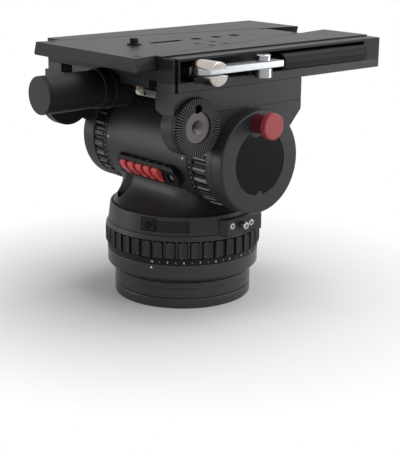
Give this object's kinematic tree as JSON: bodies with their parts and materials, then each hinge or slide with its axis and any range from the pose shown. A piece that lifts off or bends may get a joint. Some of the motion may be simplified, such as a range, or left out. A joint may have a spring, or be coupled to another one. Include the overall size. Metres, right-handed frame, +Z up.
{
  "type": "fluid video head",
  "caption": "Fluid pan and tilt head on a flat base, with numbered drag dials, counterbalance switches and a sliding wedge camera plate.",
  "frame": {"origin": "centre of the foot's underside, on the pan axis", "axes": "+Z up along the pan axis, +X towards the side with the red knob, along the tilt axis, +Y towards the lens side of the camera plate"},
  "size_m": [0.2624, 0.3798, 0.2824],
  "materials": {
    "charcoal_coat": "satin",
    "dark_coat": "satin",
    "grip_rubber": "matte",
    "black_plastic": "satin",
    "black_gloss": "gloss",
    "red_plastic": "satin",
    "steel": "brushed",
    "pale_steel": "satin",
    "nickel": "polished",
    "bare_aluminium": "satin",
    "brass": "turned",
    "battery_wrap": "gloss"
  },
  "bodies": {
    "base": {"base_plate": "charcoal_coat", "base_housing": "charcoal_coat", "pan_spindle": "steel", "pan_bearing_lower": "steel", "pan_bearing_upper": "steel", "pan_drag_cartridge": "dark_coat"},
    "pan_dial": {"pan_drag_ring": "grip_rubber"},
    "pan_head": {"pan_housing": "charcoal_coat", "level_panel": "dark_coat", "battery_door": "dark_coat", "battery": "battery_wrap", "brake_block": "charcoal_coat", "brake_screw_rear": "steel", "brake_screw_front": "steel", "tilt_bearing_left": "steel", "tilt_bearing_right": "steel", "spring_pack": "steel", "tilt_drag_left": "dark_coat", "tilt_drag_right": "dark_coat", "switch_block": "black_plastic", "switch_block_screw": "brass", "drum_tube": "charcoal_coat"},
    "pan_brake": {"brake_spindle": "steel"},
    "level_button": {"level_button": "black_plastic"},
    "tilt_dial_left": {"tilt_ring_left": "grip_rubber"},
    "tilt_dial_right": {"tilt_ring_right": "grip_rubber"},
    "tilt_head": {"cheek_right": "charcoal_coat", "cheek_left": "charcoal_coat", "tilt_shaft": "steel", "end_cap_right": "charcoal_coat", "end_cap_left": "dark_coat", "label_disc": "black_gloss", "rosette_right": "black_plastic", "rosette_left": "black_plastic", "hub_right": "pale_steel", "hub_left": "pale_steel", "beam_right": "charcoal_coat", "beam_left": "charcoal_coat", "lead_nut": "brass", "nut_bracket": "steel"},
    "tilt_lock": {"lock_knob": "red_plastic"},
    "platform": {"platform_slab": "charcoal_coat", "clamp_body": "charcoal_coat", "side_rail": "charcoal_coat", "grip_bar": "dark_coat", "knob_housing": "dark_coat", "lever_bracket": "dark_coat", "pivot_screw": "bare_aluminium"},
    "balance_knob": {"balance_knob": "black_plastic", "lead_screw": "brass"},
    "clamp_lever": {"clamp_lever": "bare_aluminium"},
    "clamp_barrel": {"clamp_barrel": "nickel"},
    "camera_plate": {"wedge_plate": "charcoal_coat", "camera_stud": "dark_coat"},
    "switch_1": {"switch_1": "red_plastic"},
    "switch_2": {"switch_2": "red_plastic"},
    "switch_3": {"switch_3": "red_plastic"},
    "switch_4": {"switch_4": "red_plastic"},
    "switch_5": {"switch_5": "red_plastic"}
  },
  "joints": [
    {"name": "pan", "type": "hinge", "parent": "base", "child": "pan_head", "pos_m": [0, 0, 0.09], "axis": [0, 0, 1], "continuous": true},
    {"name": "pan_drag", "type": "hinge", "parent": "base", "child": "pan_dial", "pos_m": [0, 0, 0.063], "axis": [0, 0, 1], "range_deg": [-120, 0]},
    {"name": "pan_brake_turn", "type": "hinge", "parent": "pan_head", "child": "pan_brake", "pos_m": [0.0865, 0.008, 0.0895], "axis": [1, 0, 0], "range_deg": [0, 90]},
    {"name": "level_button_press", "type": "slide", "parent": "pan_head", "child": "level_button", "axis": [-0.3843, 0.9232, 0], "range_m": [0, 0.0012], "stiffness_N_per_m": 500},
    {"name": "tilt", "type": "hinge", "parent": "pan_head", "child": "tilt_head", "pos_m": [0, 0, 0.1635], "axis": [1, 0, 0], "range_deg": [-75, 60]},
    {"name": "tilt_drag_left_turn", "type": "hinge", "parent": "pan_head", "child": "tilt_dial_left", "pos_m": [-0.0796, 0, 0.1635], "axis": [1, 0, 0], "range_deg": [-120, 0]},
    {"name": "tilt_drag_right_turn", "type": "hinge", "parent": "pan_head", "child": "tilt_dial_right", "pos_m": [0.0805, 0, 0.1635], "axis": [1, 0, 0], "range_deg": [-120, 0]},
    {"name": "tilt_lock_pull", "type": "slide", "parent": "tilt_head", "child": "tilt_lock", "axis": [1, 0, 0], "range_m": [0, 0.006], "stiffness_N_per_m": 800},
    {"name": "balance_slide", "type": "slide", "parent": "tilt_head", "child": "platform", "axis": [0, 1, 0], "range_m": [-0.05, 0.003]},
    {"name": "balance_turn", "type": "hinge", "parent": "platform", "child": "balance_knob", "pos_m": [0, -0.14, 0.2348], "axis": [0, 1, 0], "range_deg": [-4510, 280]},
    {"name": "lever_turn", "type": "hinge", "parent": "platform", "child": "clamp_lever", "pos_m": [0.1147, 0.0065, 0.2615], "axis": [0, 0, 1], "range_deg": [0, 5]},
    {"name": "barrel_draw", "type": "slide", "parent": "platform", "child": "clamp_barrel", "axis": [1, 0, 0], "range_m": [0, 0.0065]},
    {"name": "plate_slide", "type": "slide", "parent": "platform", "child": "camera_plate", "axis": [0, -1, 0], "range_m": [0, 0.12]},
    {"name": "switch_1_rock", "type": "hinge", "parent": "pan_head", "child": "switch_1", "pos_m": [-0.0264, -0.0545, 0.14612], "axis": [1, 0, 0], "range_deg": [-12, 0]},
    {"name": "switch_2_rock", "type": "hinge", "parent": "pan_head", "child": "switch_2", "pos_m": [-0.013, -0.0545, 0.14612], "axis": [1, 0, 0], "range_deg": [-12, 0]},
    {"name": "switch_3_rock", "type": "hinge", "parent": "pan_head", "child": "switch_3", "pos_m": [0.0004, -0.0545, 0.14612], "axis": [1, 0, 0], "range_deg": [-12, 0]},
    {"name": "switch_4_rock", "type": "hinge", "parent": "pan_head", "child": "switch_4", "pos_m": [0.0138, -0.0545, 0.14612], "axis": [1, 0, 0], "range_deg": [-12, 0]},
    {"name": "switch_5_rock", "type": "hinge", "parent": "pan_head", "child": "switch_5", "pos_m": [0.0272, -0.0545, 0.14612], "axis": [1, 0, 0], "range_deg": [-12, 0]}
  ],
  "couplings": [
    {"joint": "balance_turn", "follows": "balance_slide", "rad_per_m": 1570.8},
    {"joint": "lever_turn", "follows": "barrel_draw", "rad_per_m": 13.245}
  ]
}
